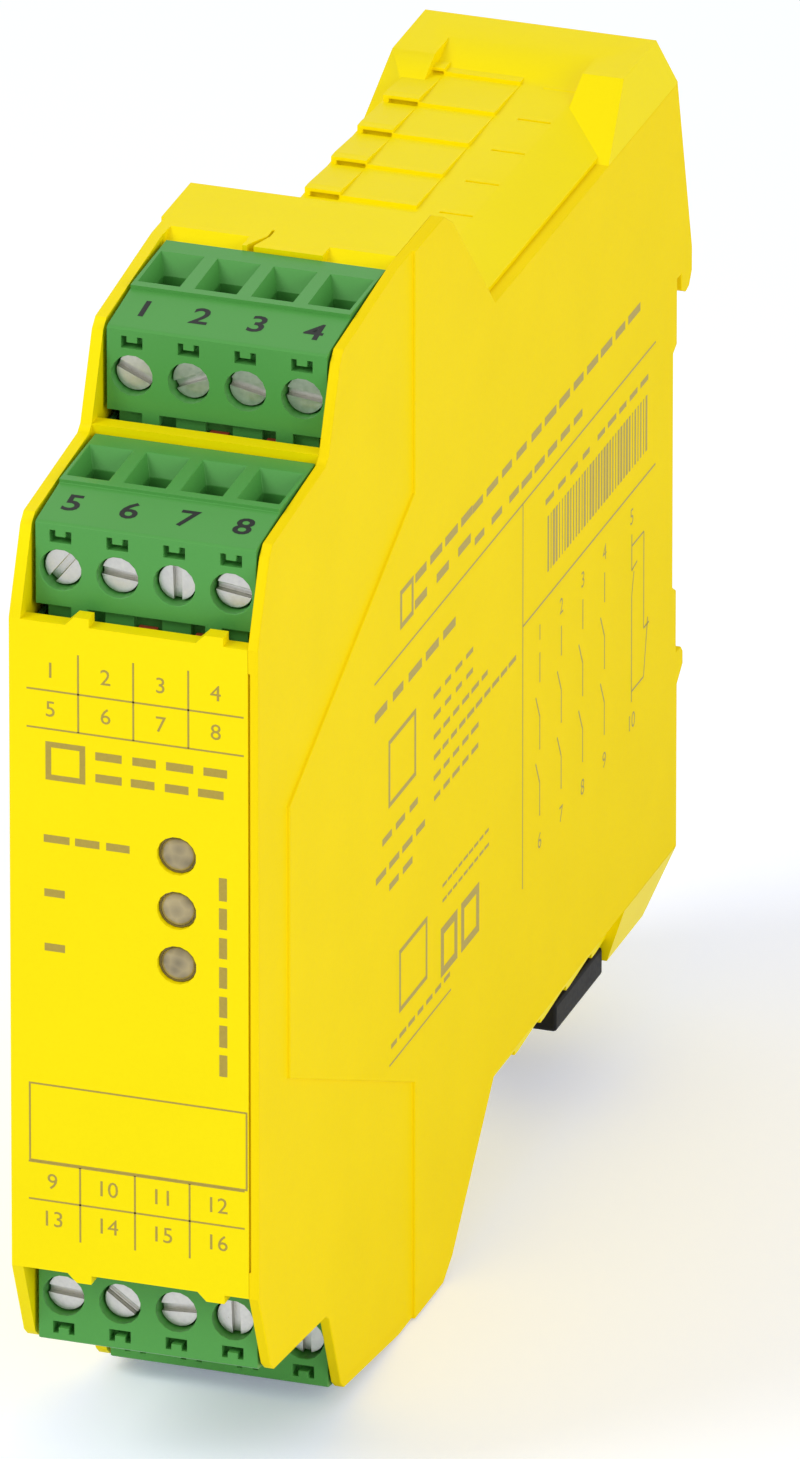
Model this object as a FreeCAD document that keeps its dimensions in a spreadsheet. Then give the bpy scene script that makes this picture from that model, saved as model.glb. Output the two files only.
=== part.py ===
"""Safety relay for a 35 mm top-hat rail, 22.5 mm wide, with four pluggable screw terminal blocks.

Frame: the origin is the centre of the rail seat. +X points right, +Y points back into the panel and
+Z points up, so the label face looks along -Y. All lengths are millimetres.
"""
import FreeCAD, Part
import math
import os
import re
from FreeCAD import Placement, Rotation, Vector

SIZES = [
    # overall housing
    ("width", 22.5), ("height", 99.0), ("seat_depth", 110.4), ("hook_reach", 4.1),
    ("side_wall", 1.3), ("cover_wall", 1.2), ("skin", 1.5), ("panel_relief", 0.3),
    ("label_half", 29.8), ("tier_run", 18.3), ("tier_rise", 10.0), ("wall_rise", 8.2),
    ("tower_length", 11.0), ("tower_slope", 11.2), ("tower_bevel", 2.4),
    ("roof_half", 36.0), ("field_rise", 2.6), ("block_rise", 4.1), ("field_wedge", 5.6),
    ("block_length", 14.6), ("block_slope", 9.1), ("block_draft", 1.65),
    ("recess_left", 7.4), ("recess_right", 5.9), ("recess_slope", 4.4),
    ("ramp_run", 1.9), ("ramp_drop", 1.3), ("slit_width", 0.6),
    # louvres on the roof and the floor
    ("louvre_pitch", 6.95), ("louvre_rise", 0.6), ("shingle_rise", 0.3), ("louvre_back", 10.6),
    ("louvre_edge", 1.8), ("shingle_width", 10.0), ("tongue_width", 3.2), ("slot_width", 2.6),
    ("dash_left", 2.6), ("dash_length", 3.0), ("dash_width", 0.35), ("dash_depth", 0.3),
    # rail seat
    ("rail_height", 35.0), ("rail_flange", 1.2), ("hook_drop", 2.1), ("seat_pad", 6.0),
    ("seat_relief", 1.0), ("stop_proud", 1.9), ("stop_height", 1.9),
    # terminal plugs
    ("plug_width", 19.4), ("plug_depth", 15.3), ("plug_setback", 2.8), ("plug_face", 7.4),
    ("plug_shift", 0.15), ("plug_lift", 0.3), ("strip_depth", 6.1), ("plug_back_height", 9.0),
    ("pole_pitch", 5.0), ("nose_length", 8.9), ("nose_front", 1.2), ("nose_back", 10.2),
    ("nose_width", 18.0), ("rib_width", 2.6), ("rib_proud", 0.6), ("foot_width", 1.5),
    ("foot_drop", 1.0),
    ("well_radius", 1.85), ("screw_level", 3.3), ("test_level", 6.3),
    ("test_width", 1.9), ("test_height", 1.1), ("test_depth", 1.2),
    ("funnel_width", 3.9), ("funnel_front", 6.6), ("funnel_back", 13.2), ("funnel_depth", 1.75),
    ("wire_hole", 2.6),
    # clamp screws and cages
    ("head_radius", 1.65), ("head_height", 1.2), ("head_setback", 0.9), ("shank_radius", 1.2),
    ("screw_length", 7.7), ("slot_cut", 0.6), ("slot_deep", 0.6), ("thread_gap", 0.05),
    ("cage_width", 3.9), ("cage_length", 7.2), ("cage_height", 3.6), ("cage_front", 5.6),
    ("cage_side", 0.6), ("cage_end", 0.8), ("cage_travel", 2.2), ("cage_room", 0.15),
    ("strip_thick", 0.6), ("strip_width", 2.2), ("strip_front", 8.8), ("socket_front", 4.4),
    ("socket_length", 2.2), ("socket_hole", 1.3),
    # headers, pins and boards
    ("header_wall", 1.0), ("header_room", 0.25), ("header_base", 1.6), ("header_height", 8.0),
    ("pin_side", 1.0), ("pin_tail", 2.4), ("board_thick", 1.6), ("board_inset", 2.0),
    ("main_board_left", 9.65), ("board_rear", 18.0), ("board_edge_room", 1.8),
    ("board_roof_room", 12.0), ("chip_height", 1.6),
    # relays and other components
    ("relay_length", 53.0), ("relay_width", 13.0), ("relay_height", 16.5), ("relay_setback", 34.4),
    ("capacitor_radius", 4.0), ("capacitor_length", 11.5), ("led_radius", 1.6), ("led_hole", 1.75),
    ("led_side", 3.75), ("led_top", 10.05), ("led_pitch", 5.0), ("led_recess", 0.5),
    # rail catch
    ("catch_width", 9.0), ("foot_plate_width", 18.8), ("foot_plate_length", 12.8),
    ("catch_release", 4.0), ("jaw_lap", 2.2), ("catch_room", 0.3),
    ("boss_radius", 2.2), ("peg_radius", 1.2), ("peg_length", 5.0), ("peg_gap", 0.05),
]

doc = FreeCAD.newDocument("SafetyRelay")
sheet = doc.addObject("Spreadsheet::Sheet", "Sizes")
for row, (alias, value) in enumerate(SIZES, start=1):
    sheet.set(f"A{row}", alias)
    sheet.set(f"B{row}", str(value))
    sheet.setAlias(f"B{row}", alias)
doc.recompute()


class Values:
    """The sheet's cells as numbers, for outlines and places."""

    def __getattr__(self, alias):
        return float(sheet.get(alias))


s = Values()


def ref(text):
    """Turn a formula in plain aliases into an expression on the sheet."""
    return re.sub(r"(?!cos\b)\b[a-z][a-z_]*", lambda word: "Sizes." + word.group(0), text)


# ---------------------------------------------------------------- modelling helpers
def new_body(name):
    return doc.addObject("PartDesign::Body", name)


def ring(u, w, radius, sides=16):
    """A regular polygon that stands for a small circle; its corners lie on the circle."""
    turns = [2 * math.pi * (index + 0.5) / sides for index in range(sides)]
    return [(u + radius * math.cos(turn), w + radius * math.sin(turn)) for turn in turns]


def outline_sketch(body, name, role, outlines, offset=None):
    """A sketch on one of the body's own planes, moved along its normal by a formula."""
    sketch = body.newObject("Sketcher::SketchObject", name)
    plane = next(item for item in body.Origin.OriginFeatures if item.Role == role)
    sketch.AttachmentSupport = [(plane, "")]
    sketch.MapMode = "FlatFace"
    if offset:
        sketch.setExpression("AttachmentOffset.Base.z", ref(offset))
    for points in outlines:
        corners = [Vector(u, w, 0) for u, w in points]
        for start, end in zip(corners, corners[1:] + corners[:1]):
            sketch.addGeometry(Part.LineSegment(start, end), False)
    return sketch


def pad(body, name, role, outlines, length, offset=None, reverse=False, middle=False):
    feature = body.newObject("PartDesign::Pad", name)
    feature.Profile = outline_sketch(body, name + "_outline", role, outlines, offset)
    feature.setExpression("Length", ref(length))
    feature.Reversed = reverse
    if middle:
        feature.SideType = "Symmetric"
    return feature


def pocket(body, name, role, outlines, depth, offset=None, reverse=False, middle=False):
    feature = body.newObject("PartDesign::Pocket", name)
    feature.Profile = outline_sketch(body, name + "_outline", role, outlines, offset)
    feature.setExpression("Length", ref(depth))
    feature.Reversed = reverse
    if middle:
        feature.SideType = "Symmetric"
    return feature


def box(name, size, corner):
    """A Part box; size and corner are three formulas each."""
    item = doc.addObject("Part::Box", name)
    for side, formula in zip(("Length", "Width", "Height"), size):
        item.setExpression(side, ref(formula))
    for axis, formula in zip("xyz", corner):
        item.setExpression("Placement.Base." + axis, ref(formula))
    return item


def bar(name, radius, length, centre, axis, sides=16):
    """A round bar as a prism from centre along an axis; radius and length are formulas."""
    item = doc.addObject("Part::Prism", name)
    item.Polygon = sides
    item.setExpression("Circumradius", ref(radius))
    item.setExpression("Height", ref(length))
    item.Placement = Placement(Vector(*centre), Rotation(Vector(0, 0, 1), Vector(*axis)))
    return item


def wedge(name, low, high, level, rise):
    """A frustum between two X-Y rectangles (x0, x1, y0, y1), upwards from level by rise."""
    item = doc.addObject("Part::Wedge", name)
    item.Xmin, item.Xmax, item.Zmin, item.Zmax = low
    item.X2min, item.X2max, item.Z2min, item.Z2max = high
    item.Ymin, item.Ymax = 0, abs(rise)
    if rise > 0:
        # local Z becomes -Y before the turn, so the rectangles' Y values are mirrored
        item.Zmin, item.Zmax = -low[3], -low[2]
        item.Z2min, item.Z2max = -high[3], -high[2]
        item.Placement = Placement(Vector(0, 0, level), Rotation(Vector(1, 0, 0), 90))
    else:
        item.Placement = Placement(Vector(0, 0, level), Rotation(Vector(1, 0, 0), -90))
    return item


def fuse(name, items):
    joined = doc.addObject("Part::MultiFuse", name)
    joined.Shapes = items
    joined.Refine = True
    return joined


def cut(name, base, tools):
    tool = tools[0] if len(tools) == 1 else fuse(name + "_tools", tools)
    result = doc.addObject("Part::Cut", name)
    result.Base = base
    result.Tool = tool
    result.Refine = True
    return result


def rectangle(u0, u1, w0, w1):
    return [(u0, w0), (u1, w0), (u1, w1), (u0, w1)]


NODES = []


def node(item, name):
    """Name a finished piece; the name is that of its file."""
    item.Label = name
    NODES.append((name, item))
    return item


# ---------------------------------------------------------------- housing outlines (Y, Z)
front = -s.seat_depth
half_width = s.width / 2
half_height = s.height / 2
inner_right = half_width - s.cover_wall
inner_left = -half_width + s.side_wall
step_face = front + s.tier_run
tower_face = front + 2 * s.tier_run
tower_back = tower_face + s.tower_length
slope_foot = tower_back + s.tower_bevel + s.tower_slope
field_half = s.roof_half + s.field_rise
block_half = s.roof_half + s.block_rise
rear_inner = -(s.seat_relief + s.skin + 0.7)
LOUVRES = 5
louvre_rows = [-s.louvre_back - s.louvre_pitch * index for index in range(LOUVRES)]


def tier(run, rise):
    """The raked front edge and the top of one tier of a side wall."""
    return [(front + run, s.label_half + rise),
            (front + run + 3.0, s.label_half + rise + s.wall_rise - 0.9),
            (front + run + 3.9, s.label_half + rise + s.wall_rise - 0.1),
            (front + run + s.tier_run - 0.8, s.label_half + rise + s.tier_rise - 0.6)]


def tower_top():
    """From the tower's front plane over its top and down the rear slope."""
    return [(tower_face, half_height), (tower_back, half_height),
            (tower_back + s.tower_bevel, half_height - 1.5), (slope_foot, s.roof_half)]


def upper_half():
    lower_tier = tier(0, 0)
    upper_tier = tier(s.tier_run, s.tier_rise)[:-1]
    return lower_tier + upper_tier + tower_top()


def mirrored(points):
    return [(y, -z) for y, z in reversed(points)]


def rear_edge():
    """The rail hook, the seat and the lower stop, from the roof down to the floor."""
    half_rail = s.rail_height / 2
    tip = half_rail - s.hook_drop
    return [(0, s.roof_half), (s.hook_reach, half_rail + 1.5), (s.hook_reach, tip + 1.4),
            (s.hook_reach - 0.8, tip + 0.2), (s.hook_reach - 1.7, tip), (s.rail_flange, tip + 0.6),
            (s.rail_flange, half_rail + 0.1), (0, half_rail + 0.1), (0, half_rail - s.seat_pad),
            (-s.seat_relief, half_rail - s.seat_pad - 0.5),
            (-s.seat_relief, -half_rail + s.seat_pad + 0.5), (0, -half_rail + s.seat_pad - 0.2),
            (0, -half_rail - 0.1), (s.stop_proud - 0.5, -half_rail - 0.1),
            (s.stop_proud, -half_rail - 0.7), (s.stop_proud, -half_rail - s.stop_height),
            (0.3, -half_rail - s.stop_height - 1.3), (0.3, -s.roof_half)]


def wall_outline():
    return upper_half() + rear_edge() + mirrored(upper_half())


def band_outline():
    """The tower, roof, rear wall and floor as one bent strip, open towards the front."""
    low = tower_face + s.skin
    outer = [(tower_face, s.label_half + 7.6)] + tower_top()
    inner = [(rear_inner, s.roof_half - s.skin), (slope_foot - 0.7, s.roof_half - s.skin),
             (tower_back + s.tower_bevel - 1.0, half_height - s.skin - 1.1),
             (tower_back - 0.4, half_height - s.skin), (low, half_height - s.skin), (low, outer[0][1])]
    return outer + rear_edge() + mirrored(outer) + mirrored(inner) + inner


def relief_outline(side):
    """The shallow panel round the plugs on each side wall, in front of the raised flank."""
    far = half_height + 5
    back = tower_face + 3.4
    nose = front + 7.3
    return [(nose, -12.5), (nose, 12.5), (back, 27.3), (back, far), (front - 5, far),
            (front - 5, -far), (back, -far), (back, -27.3)]


def louvre_teeth(sign, rise):
    """Shingle sections on the roof (sign 1) or the floor (sign -1), high at the front."""
    base = field_half - 0.2
    top = field_half + rise
    return [[(row, sign * base), (row, sign * top), (row + 1.0, sign * top),
             (row + s.louvre_pitch - 0.2, sign * (field_half + 0.05)),
             (row + s.louvre_pitch - 0.2, sign * base)] for row in louvre_rows]


# ---------------------------------------------------------------- housing shell
def field_outline(sign):
    """Cross-section (X, Z) of the raised louvre field: steep on one side, a long slope on the other."""
    slope_end = inner_right if sign > 0 else half_width
    slope_level = s.roof_half + (0.35 if sign > 0 else 0.0)
    steep = half_width if sign > 0 else inner_right
    steep_level = s.roof_half if sign > 0 else s.roof_half + 0.3
    points = [(-steep, steep_level), (-half_width + 1.7, field_half), (s.field_wedge, field_half),
              (slope_end, slope_level), (slope_end, s.roof_half - 1.0), (-steep, s.roof_half - 1.0)]
    return [(sign * x, sign * z) for x, z in points]


def boss_places():
    """The six locating bosses (Y, Z) that the cover's pegs enter."""
    return [(y, sign * z) for y, z in ((front + 6.0, 15.0), (slope_foot - 8.4, 39.4), (-12.8, 31.0))
            for sign in (1, -1)]


def led_levels():
    return [s.led_top - index * s.led_pitch for index in range(3)]


def label_tabs(sign):
    """Two low trapezoid tabs on the label's edge (X, Z)."""
    edge = s.label_half * sign
    high = edge + 0.8 * sign
    return [[(x0, edge - 0.5 * sign), (x0, edge), (x0 + 0.8, high), (x1, high), (x1, edge - 0.5 * sign)]
            for x0, x1 in ((-6.0, -3.9), (5.5, 7.9))]


def housing_shell():
    body = new_body("ShellBody")
    run = "width - cover_wall"
    start = "-width / 2"
    pad(body, "LeftWall", "YZ_Plane", [wall_outline()], "side_wall", start)
    low = s.label_half - 1.4
    step_low = s.label_half + 0.2
    strips = [rectangle(front, front + s.skin, -s.label_half, s.label_half),
              rectangle(step_face, step_face + s.skin, step_low, s.label_half + s.tier_rise),
              rectangle(step_face, step_face + s.skin, -s.label_half - s.tier_rise, -step_low),
              band_outline()]
    pad(body, "Strips", "YZ_Plane", strips, run, start)
    for sign, side in ((1, "Upper"), (-1, "Lower")):
        pad(body, side + "Tabs", "XZ_Plane", label_tabs(sign), "skin", "seat_depth", reverse=True)
        pad(body, side + "Field", "XZ_Plane", [field_outline(sign)],
            "seat_depth - 2 * tier_run - tower_length - tower_bevel - tower_slope / 2 - 8",
            "8", reverse=False)
    edge = "-width / 2 + louvre_edge"
    pad(body, "RoofShingles", "YZ_Plane", louvre_teeth(1, s.shingle_rise), "shingle_width", edge)
    pad(body, "RoofTongues", "YZ_Plane", louvre_teeth(1, s.louvre_rise), "tongue_width", edge)
    pad(body, "FloorLouvres", "YZ_Plane", louvre_teeth(-1, s.louvre_rise)[1:], "width / 2 - 2.8", "1")
    bosses = [ring(y, z, s.boss_radius, 8) for y, z in boss_places()]
    pad(body, "Bosses", "YZ_Plane", bosses, "width - side_wall / 2 - cover_wall - 0.3",
        "-width / 2 + side_wall / 2")
    bores = [ring(y, z, s.peg_radius + s.peg_gap, 8) for y, z in boss_places()]
    pocket(body, "BossBores", "YZ_Plane", bores, "peg_length + 0.5", "width / 2 - cover_wall")
    pocket(body, "LeftRelief", "YZ_Plane", [relief_outline(-1)], "panel_relief", "-width / 2",
           reverse=True)
    lamps = [ring(s.led_side, level, s.led_hole) for level in led_levels()]
    pocket(body, "LampHoles", "XZ_Plane", lamps, "skin + 1", "seat_depth + 0.5")
    ramps = [[(tower_face - 1, sign * (half_height + 1)),
              (tower_face - 1, sign * (half_height - s.ramp_drop)),
              (tower_face, sign * (half_height - s.ramp_drop)),
              (tower_face + s.ramp_run, sign * half_height),
              (tower_face + s.ramp_run, sign * (half_height + 1))] for sign in (1, -1)]
    pocket(body, "LeftRamps", "YZ_Plane", ramps, "7", "-9.9", reverse=True)
    pocket(body, "RightRamps", "YZ_Plane", ramps, "width / 2 - cover_wall - 4.2", "4.2", reverse=True)
    bend = tower_face + 2.4
    slit = [(-2.5, tower_face - 1), (-2.5 + s.slit_width, tower_face - 1),
            (-2.5 + s.slit_width, tower_face + 0.3), (-1.25, bend), (-1.25, bend + 1.4),
            (-1.5, bend + 1.4), (-1.5, bend), (-2.5, tower_face + 0.3)]
    pocket(body, "RoofSlit", "XY_Plane", [slit], "skin + 1", "height / 2 + 0.5")
    slot_left = -half_width + s.louvre_edge + 0.5
    roof_slots = [rectangle(slot_left, slot_left + s.slot_width, row - 0.35, row + 0.4)
                  for row in louvre_rows]
    pocket(body, "RoofSlots", "XY_Plane", roof_slots, "1.1",
           "roof_half + field_rise + louvre_rise / 2")
    dashes = [rectangle(s.dash_left, s.dash_left + s.dash_length, row - s.dash_width / 2,
                        row + s.dash_width / 2) for row in louvre_rows]
    pocket(body, "RoofDashes", "XY_Plane", dashes, "dash_depth + 0.1", "roof_half + field_rise + 0.1")
    catch_half = s.catch_width / 2 + s.catch_room
    half_rail = s.rail_height / 2
    jaw_top = -half_rail + s.jaw_lap + s.catch_room
    arm_low = -half_rail - 4.6 - s.catch_release - s.catch_room
    pocket(body, "CatchWindow", "XZ_Plane", [rectangle(-catch_half, catch_half, arm_low, jaw_top)],
           "hook_reach + 6", "-hook_reach", reverse=True)
    pocket(body, "CatchSlot", "XY_Plane", [rectangle(-catch_half, catch_half, -20.6, -14.9)],
           "8", "-roof_half + skin + 0.5")
    front_low = -s.block_length - 4.3
    front_high = front_low + s.block_slope
    top_block = wedge("TopBlock", (-half_width, half_width, front_low, 0),
                      (-half_width, half_width - s.block_draft, front_high, -1.0),
                      s.roof_half, s.block_rise)
    # the block's middle dips to the louvre field by a slope of its own
    run = s.recess_slope / (s.block_rise - s.field_rise)
    recess = wedge("BlockRecess",
                   (-s.recess_left, s.recess_right, front_low - 4, -6.0 - s.recess_slope - 0.4 * run),
                   (-s.recess_left, s.recess_right, front_low - 4, -6.0 + 0.6 * run),
                   field_half - 0.4, s.block_rise - s.field_rise + 1.0)
    notched_block = cut("NotchedBlock", top_block, [recess])
    low_block = wedge("LowBlock", (-half_width, half_width, -s.block_length + 0.6, 0.3),
                      (-half_width, half_width - s.block_draft, -s.block_length + 0.8, -4.0),
                      -s.roof_half, -s.block_rise - 1.0)
    return node(fuse("Shell", [body, notched_block, low_block]), "housing_shell")


# ---------------------------------------------------------------- side cover
def side_cover():
    body = new_body("CoverBody")
    pad(body, "Plate", "YZ_Plane", [wall_outline()], "cover_wall", "width / 2 - cover_wall")
    pegs = [ring(y, z, s.peg_radius, 8) for y, z in boss_places()]
    pad(body, "Pegs", "YZ_Plane", pegs, "peg_length", "width / 2 - cover_wall", reverse=True)
    pocket(body, "Relief", "YZ_Plane", [relief_outline(1)], "panel_relief", "width / 2")
    seam = [rectangle(inner_right - 1, inner_right + 0.18, -s.label_half + 2.4, s.label_half - 2.2)]
    pocket(body, "Seam", "XZ_Plane", seam, "0.3", "seat_depth")
    return node(body, "side_cover")


# ---------------------------------------------------------------- terminal plugs
def poles():
    """X of the four poles about the plug's middle."""
    return [(index - 1.5) * s.pole_pitch for index in range(4)]


def cell(name, x, size, corner):
    """A box about the pole at x: width, depth and height as formulas, corner (Y, Z) as formulas."""
    return box(name, size, (f"{x} - ({size[0]}) / 2", corner[0], corner[1]))


def plug(name, place):
    """One four-pole plug in its own frame: origin at the lower front edge, nose down, wires from above."""
    body = new_body(name + "_Body")
    back = s.plug_depth
    outline = [(0, 0), (0, s.plug_face), (0.3, s.plug_face + 0.2),
               (s.strip_depth, s.plug_back_height - 0.6), (s.strip_depth, s.plug_back_height - 0.25),
               (back, s.plug_back_height), (back, 0)]
    pad(body, name + "_Block", "YZ_Plane", [outline], "plug_width", middle=True)
    nose = [rectangle(s.nose_front, s.nose_back, -s.nose_length, 0.5)]
    pad(body, name + "_Nose", "YZ_Plane", nose, "nose_width", middle=True)
    wide = s.rib_width / 2
    ribs = [rectangle(x - wide, x + wide, s.nose_front - s.rib_proud, s.nose_front + 0.2) for x in poles()]
    pad(body, name + "_Ribs", "XY_Plane", ribs, "nose_length + 0.2", "0.2", reverse=True)
    feet = [rectangle(x, x + s.foot_width, 0, 1.0) for x in (-6.6, 5.2)]
    pad(body, name + "_Feet", "XY_Plane", feet, "foot_drop + 0.2", "0.2", reverse=True)
    wells = [ring(x, s.screw_level, s.well_radius) for x in poles()]
    pocket(body, name + "_Wells", "XZ_Plane", wells, "head_setback + head_height + 0.15")
    shank_hole = (s.shank_radius + s.thread_gap) / math.cos(math.pi / 8)
    shanks = [ring(x, s.screw_level, shank_hole, 8) for x in poles()]
    pocket(body, name + "_Shanks", "XZ_Plane", shanks, "cage_front")
    wide = s.test_width / 2
    high = s.test_height / 2
    tests = [[(x - wide, s.test_level - high), (x + wide, s.test_level - high),
              (x + wide, s.test_level + high), (x + 0.45, s.test_level + high),
              (x + 0.45, s.test_level), (x - 0.45, s.test_level), (x - 0.45, s.test_level + high),
              (x - wide, s.test_level + high)] for x in poles()]
    pocket(body, name + "_Tests", "XZ_Plane", tests, "test_depth")
    top = s.plug_back_height - s.funnel_depth
    hole_back = s.strip_front + s.strip_thick + s.wire_hole
    tools = []
    for index, x in enumerate(poles()):
        tag = f"{name}_{index}"
        mouth = (x - s.funnel_width / 2, x + s.funnel_width / 2, s.funnel_front, s.funnel_back)
        throat = (x - s.wire_hole / 2, x + s.wire_hole / 2, hole_back - s.wire_hole, hole_back)
        funnel = wedge(tag + "_Funnel", throat, mouth, top, s.funnel_depth)
        hole = cell(tag + "_Hole", x, ("wire_hole", "wire_hole", "plug_back_height - funnel_depth - 3"),
                    ("strip_front + strip_thick", "3.0"))
        room = cell(tag + "_Room", x,
                    ("cage_width + 2 * cage_room", "cage_length + cage_travel + 2 * cage_room",
                     "cage_height + 2 * cage_room"),
                    ("cage_front - cage_travel - cage_room", "screw_level - cage_height / 2 - cage_room"))
        lane = cell(tag + "_Lane", x, ("strip_width + 0.2", "strip_front + strip_thick - socket_front + 0.2",
                                       "screw_level + 0.1"), ("socket_front - 0.1", "-1.7"))
        socket = cell(tag + "_Socket", x, ("strip_width + 0.2", "socket_length + 0.2", "nose_length"),
                      ("socket_front - 0.1", "-nose_length - 0.5"))
        tools += [funnel, hole, room, lane, socket]
    solid = cut(name + "_Moulding", body, tools)
    solid.Placement = place
    return node(solid, name)


def clamp_screw(name, place, x, angle):
    """A captive cheese-head screw along the plug's depth; its slot stands at the given angle."""
    head = bar(name + "_Head", "head_radius", "head_height", (0, 0, 0), (0, 1, 0))
    shank = bar(name + "_Shank", "shank_radius", "screw_length", (0, 0, 0), (0, 1, 0), 8)
    slot = box(name + "_Slot", ("2 * head_radius + 1", "slot_deep + 1", "slot_cut"),
               ("-head_radius - 0.5", "-1", "-slot_cut / 2"))
    screw = cut(name + "_Screw", fuse(name + "_Blank", [head, shank]), [slot])
    local = Placement(Vector(x, s.head_setback, s.screw_level), Rotation(Vector(0, 1, 0), angle))
    screw.Placement = place.multiply(local)
    return node(screw, name)


def clamp_cage(name, place, x):
    """The lifting cage: a square sleeve with a tapped front end, open upwards for the wire."""
    outer = cell(name + "_Outer", 0, ("cage_width", "cage_length", "cage_height"), ("0", "-cage_height / 2"))
    window = cell(name + "_Window", 0, ("cage_width - 2 * cage_side", "cage_length - 2 * cage_end",
                                        "cage_height + 2"), ("cage_end", "-cage_height / 2 - 1"))
    bore = bar(name + "_Bore", "(shank_radius + thread_gap) / cos(22.5)", "cage_end + 1", (0, -0.5, 0),
               (0, 1, 0), 8)
    cage = cut(name + "_Cage", outer, [window, bore])
    cage.Placement = place.multiply(Placement(Vector(x, s.cage_front, s.screw_level), Rotation()))
    return node(cage, name)


def plug_contacts(name, place):
    """Four strips that run from the clamps down to the sockets in the nose."""
    pieces = []
    for index, x in enumerate(poles()):
        tag = f"{name}_{index}"
        bar = cell(tag + "_Bar", x, ("strip_width", "strip_thick", "screw_level + 3.1"),
                   ("strip_front", "-1.6"))
        link = cell(tag + "_Link", x, ("strip_width", "strip_front + strip_thick - socket_front",
                                       "strip_thick"), ("socket_front", "-1.6"))
        socket = cell(tag + "_Socket", x, ("strip_width", "socket_length", "nose_length - 1.9"),
                      ("socket_front", "-nose_length + 0.9"))
        hole = cell(tag + "_Hole", x, ("socket_hole", "socket_hole", "nose_length - 2.4"),
                    ("socket_front + (socket_length - socket_hole) / 2", "-nose_length + 0.4"))
        pieces.append(cut(tag + "_Contact", fuse(tag + "_Strip", [bar, link, socket]), [hole]))
    group = doc.addObject("Part::Compound", name + "_Group")
    group.Links = pieces
    group.Placement = place
    return node(group, name)


def coding_peg_solids(name, place):
    """Keying pegs against the header's front wall, in the grooves between the plug's ribs."""
    pegs = []
    for index, x in enumerate((0.0, s.pole_pitch)):
        peg = box(f"{name}_Peg{index}", ("1.6", "0.6", "nose_length - 1.4"), ("0", "0", "0"))
        for axis in "xyz":
            peg.setExpression("Placement.Base." + axis, None)
        inner = s.nose_front - s.rib_proud - s.header_room
        peg.Placement = place.multiply(Placement(Vector(x - 0.8, inner, -s.nose_length + 0.3), Rotation()))
        pegs.append(peg)
    return pegs


# ---------------------------------------------------------------- headers, pins, boards
def header(name, place, stand):
    """The shroud that a plug's nose seats in, with its base on the terminal board."""
    body = new_body(name + "_Body")
    room = s.header_room
    y0 = s.nose_front - s.rib_proud - room
    y1 = s.nose_back + room
    floor = -s.nose_length - room
    x1 = s.nose_width / 2 + room
    wall = s.header_wall
    bottom = floor - s.header_base - stand
    outer = rectangle(y0 - wall, y1 + wall, bottom, floor + s.header_height)
    pad(body, name + "_Shroud", "YZ_Plane", [outer], f"nose_width + 2 * header_room + 0.9",
        middle=True)
    cavity = [rectangle(-x1, x1, y0, y1)]
    pocket(body, name + "_Cavity", "XY_Plane", cavity, "header_height + 1",
           f"-nose_length - header_room + header_height + 1")
    side = s.pin_side / 2 + 0.02
    middle = s.socket_front + s.socket_length / 2
    holes = [rectangle(x - side, x + side, middle - side, middle + side) for x in poles()]
    pocket(body, name + "_PinHoles", "XY_Plane", holes, f"header_base + {stand} + 2",
           f"-nose_length - header_room + 1")
    body.Placement = place
    return node(body, name)


def header_pins(name, places, stand):
    """Square contact pins through a pair of headers and their boards."""
    pins = []
    for tag, place in places:
        for index, x in enumerate(poles()):
            pin = box(f"{name}_{tag}_{index}",
                      ("pin_side", "pin_side",
                       f"nose_length - 2.4 + header_room + header_base + {stand} + pin_tail"),
                      ("0", "0", "0"))
            low = -s.nose_length - s.header_room - s.header_base - stand - s.pin_tail
            local = Vector(x - s.pin_side / 2, s.socket_front + (s.socket_length - s.pin_side) / 2, low)
            for axis in "xyz":
                pin.setExpression("Placement.Base." + axis, None)
            pin.Placement = place.multiply(Placement(local, Rotation()))
            pins.append(pin)
    group = doc.addObject("Part::Compound", name + "_Group")
    group.Links = pins
    return node(group, name)


def board_level():
    """Z of the upper terminal board's top face, under the front header."""
    return s.label_half + s.plug_lift - s.nose_length - s.header_room - s.header_base


def link_rows():
    """Front faces (Y) of the pins that join the boards, between the two headers."""
    return [step_face - 3.2 + 1.8 * index for index in range(3)]


def terminal_board(name, sign):
    """A board across the width that carries one pair of headers."""
    body = new_body(name + "_Body")
    x1 = inner_right - 0.3
    x0 = inner_left + 0.3
    y0 = front + s.skin + 0.4
    y1 = tower_face + 1.0
    level = board_level()
    pad(body, name + "_Plate", "XY_Plane", [rectangle(x0, x1, y0, y1)], "board_thick",
        f"{sign * level if sign < 0 else level} - ({(sign + 1) // 2}) * board_thick")
    side = s.pin_side / 2 + 0.02
    middle = s.socket_front + s.socket_length / 2
    rows = [front + s.plug_setback + middle, front + s.plug_setback + s.tier_run + middle]
    holes = [rectangle(x + s.plug_shift - side, x + s.plug_shift + side, y - side, y + side)
             for y in rows for x in poles()]
    link = -s.main_board_left + s.board_thick + 1.2
    holes += [rectangle(link - 0.02, link + 0.62, y - 0.02, y + 0.62) for y in link_rows()]
    pocket(body, name + "_Holes", "XY_Plane", holes, "board_thick + 2",
           f"{sign * level} + ({(1 - sign) // 2}) * board_thick + 1")
    return node(body, name)


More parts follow.
